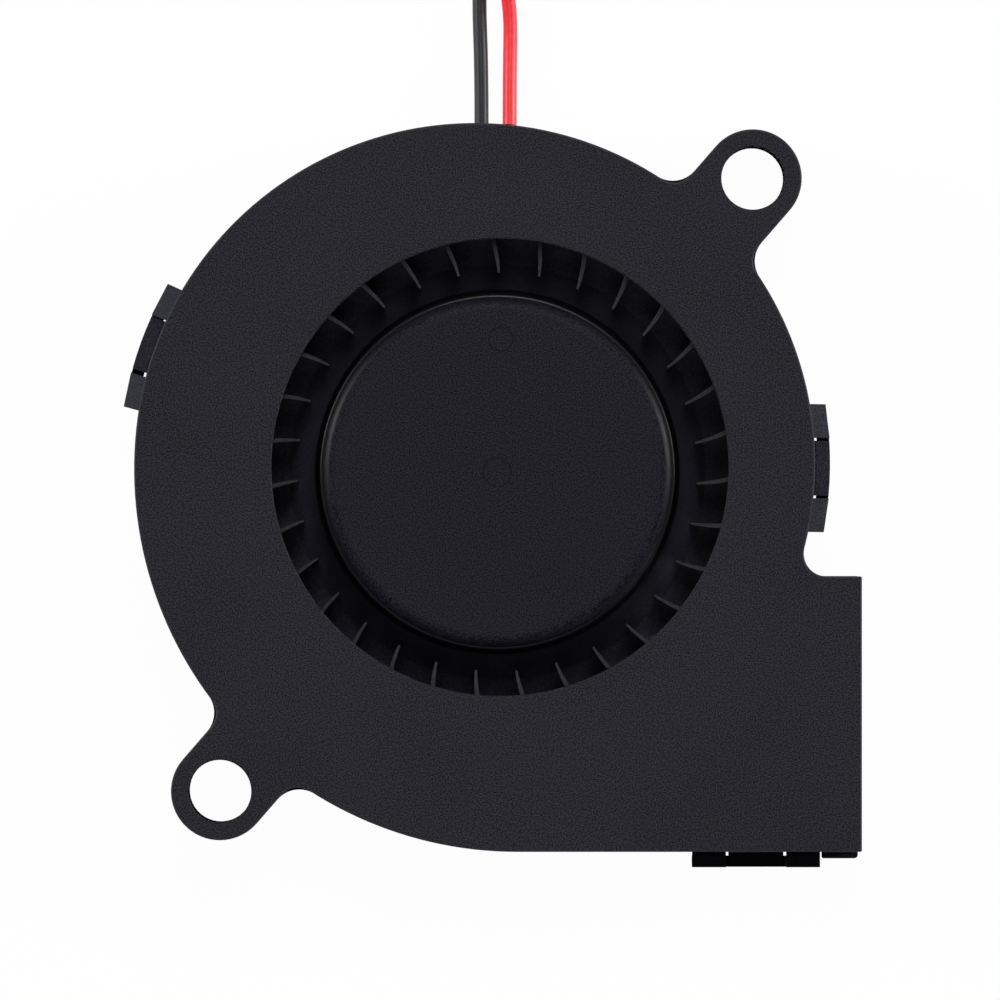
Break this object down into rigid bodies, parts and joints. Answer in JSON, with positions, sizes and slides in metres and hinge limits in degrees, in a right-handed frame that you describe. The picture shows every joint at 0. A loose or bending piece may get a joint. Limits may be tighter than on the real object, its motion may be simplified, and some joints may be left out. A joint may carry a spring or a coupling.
{
  "type": "radial blower fan",
  "caption": "Flat dc blower fan: round intake in a clipped front cover, scroll housing with a side outlet, two mounting ears, bladed impeller on a brushless motor, and a two-wire lead.",
  "frame": {"origin": "on the impeller's axis, in the plane of the flat back face", "axes": "+Z along the impeller's axis towards the intake; the air leaves towards +X; the leads leave towards +Y"},
  "size_m": [0.0517, 0.0945, 0.015],
  "materials": {
    "housing_plastic": "fine moulded grain, glass-filled dark charcoal plastic",
    "impeller_plastic": "satin moulded black plastic",
    "yoke_steel": "drawn steel cup",
    "magnet_rubber": "bonded ferrite strip",
    "bush_brass": "turned",
    "shaft_steel": "ground and polished",
    "nylon": "natural nylon",
    "sleeve_bronze": "sintered, oil filled",
    "core_steel": "stacked laminations",
    "bobbin_plastic": "moulded",
    "winding_copper": "enamelled wire",
    "tinned_metal": "tinned",
    "board_resin": "solder mask over laminate",
    "chip_plastic": "moulded package",
    "black_insulation": "soft satin sleeve over stranded wire",
    "red_insulation": "soft satin sleeve over stranded wire",
    "tie_plastic": "coated tie",
    "connector_plastic": "natural nylon"
  },
  "bodies": {
    "housing": {"base_housing": "housing_plastic", "intake_cover": "housing_plastic", "bearing_sleeve": "sleeve_bronze", "thrust_pad": "nylon", "stator_core": "core_steel", "upper_bobbin": "bobbin_plastic", "lower_bobbin": "bobbin_plastic", "stator_coils": "winding_copper", "bobbin_pins": "tinned_metal", "circuit_board": "board_resin", "hall_sensor": "chip_plastic", "driver_chip": "chip_plastic", "board_chips": "chip_plastic", "solder_joints": "tinned_metal", "black_lead_inner": "black_insulation", "red_lead_inner": "red_insulation", "black_lead": "black_insulation", "red_lead": "red_insulation", "black_lead_coil": "black_insulation", "red_lead_coil": "red_insulation", "black_lead_end": "black_insulation", "red_lead_end": "red_insulation", "lead_tie": "tie_plastic", "connector_housing": "connector_plastic", "crimp_contacts": "tinned_metal"},
    "rotor": {"impeller": "impeller_plastic", "rotor_yoke": "yoke_steel", "ring_magnet": "magnet_rubber", "shaft_bush": "bush_brass", "shaft": "shaft_steel", "retaining_washer": "nylon", "upper_washer": "nylon"}
  },
  "joints": [
    {"name": "impeller_spin", "type": "hinge", "parent": "housing", "child": "rotor", "pos_m": [0, 0, 0.008], "axis": [0, 0, 1], "continuous": true}
  ]
}
